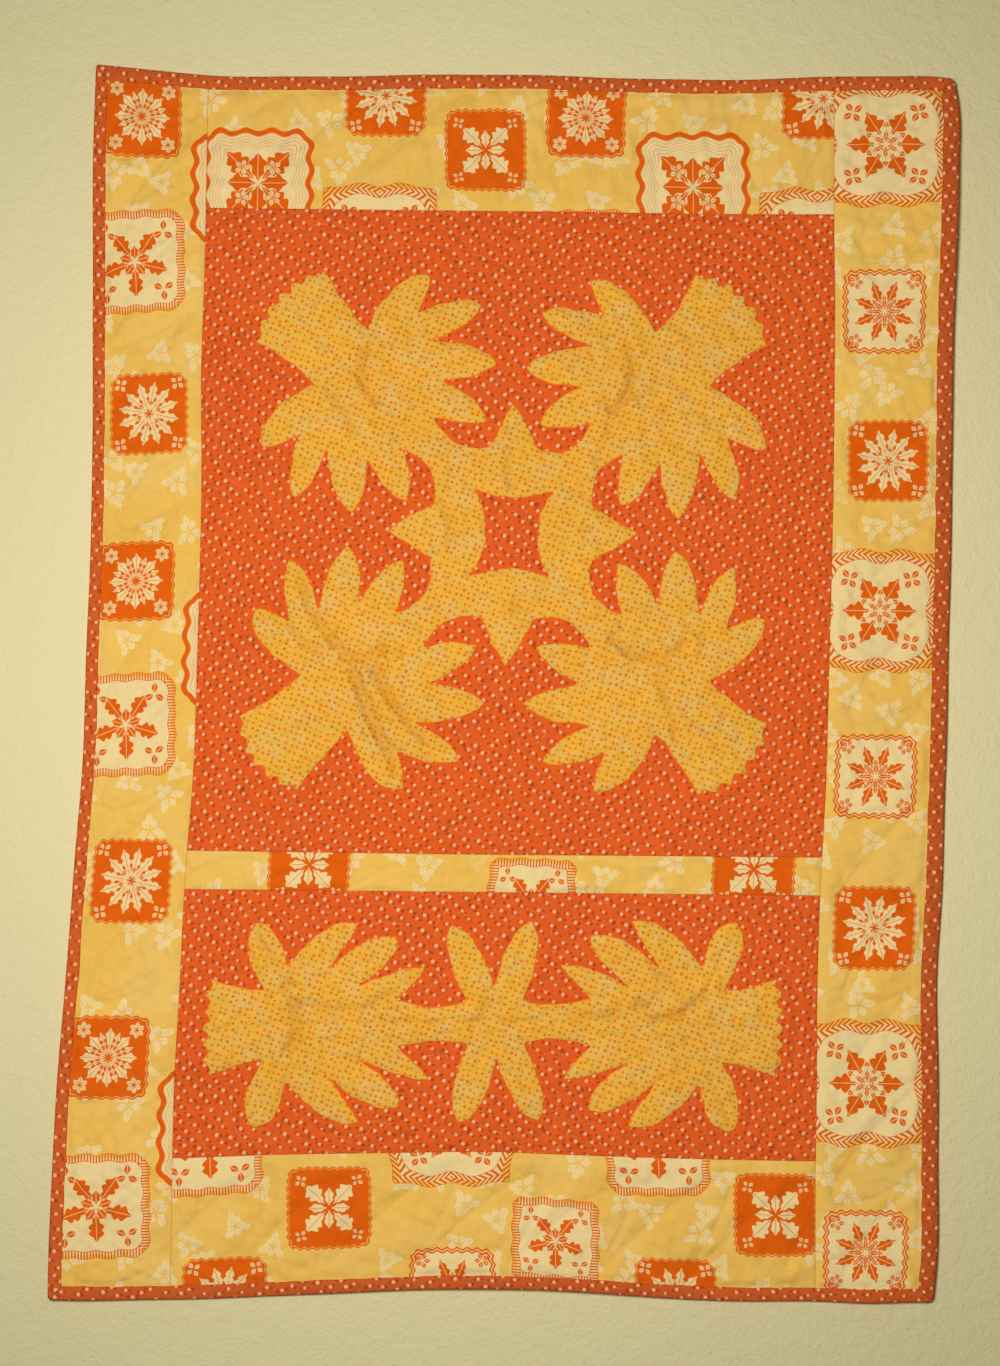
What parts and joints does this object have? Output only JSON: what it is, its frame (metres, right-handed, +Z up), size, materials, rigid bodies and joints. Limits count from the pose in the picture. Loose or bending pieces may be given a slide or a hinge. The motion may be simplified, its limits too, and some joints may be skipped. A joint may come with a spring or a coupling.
{
  "type": "hawaiian quilt wall hanging",
  "caption": "Quilted wall hanging: dotted orange panels with yellow leaf and flower cut-outs sewn on, set in a printed yellow border and edged with a folded binding.",
  "frame": {"origin": "on the wall plane, at the middle of the top edge, where the hanging is held", "axes": "+X to the right seen from the front, +Y into the wall, +Z up; the front faces -Y"},
  "size_m": [0.6512, 0.0157, 0.8972],
  "materials": {
    "dotted_cotton": "matt orange cotton printed with small pale and brown dots",
    "mottled_cotton": "matt mottled yellow cotton printed with fine orange dots",
    "printed_cotton": "matt yellow cotton printed with framed motifs and pale blossoms"
  },
  "bodies": {
    "root": {"panel_large": "dotted_cotton", "panel_lower": "dotted_cotton", "applique_medallion": "mottled_cotton", "applique_garland": "mottled_cotton", "border_left": "printed_cotton", "border_right": "printed_cotton", "border_top": "printed_cotton", "border_sashing": "printed_cotton", "border_bottom": "printed_cotton", "binding_left": "dotted_cotton", "binding_right": "dotted_cotton", "binding_top": "dotted_cotton", "binding_bottom": "dotted_cotton"}
  },
  "joints": []
}
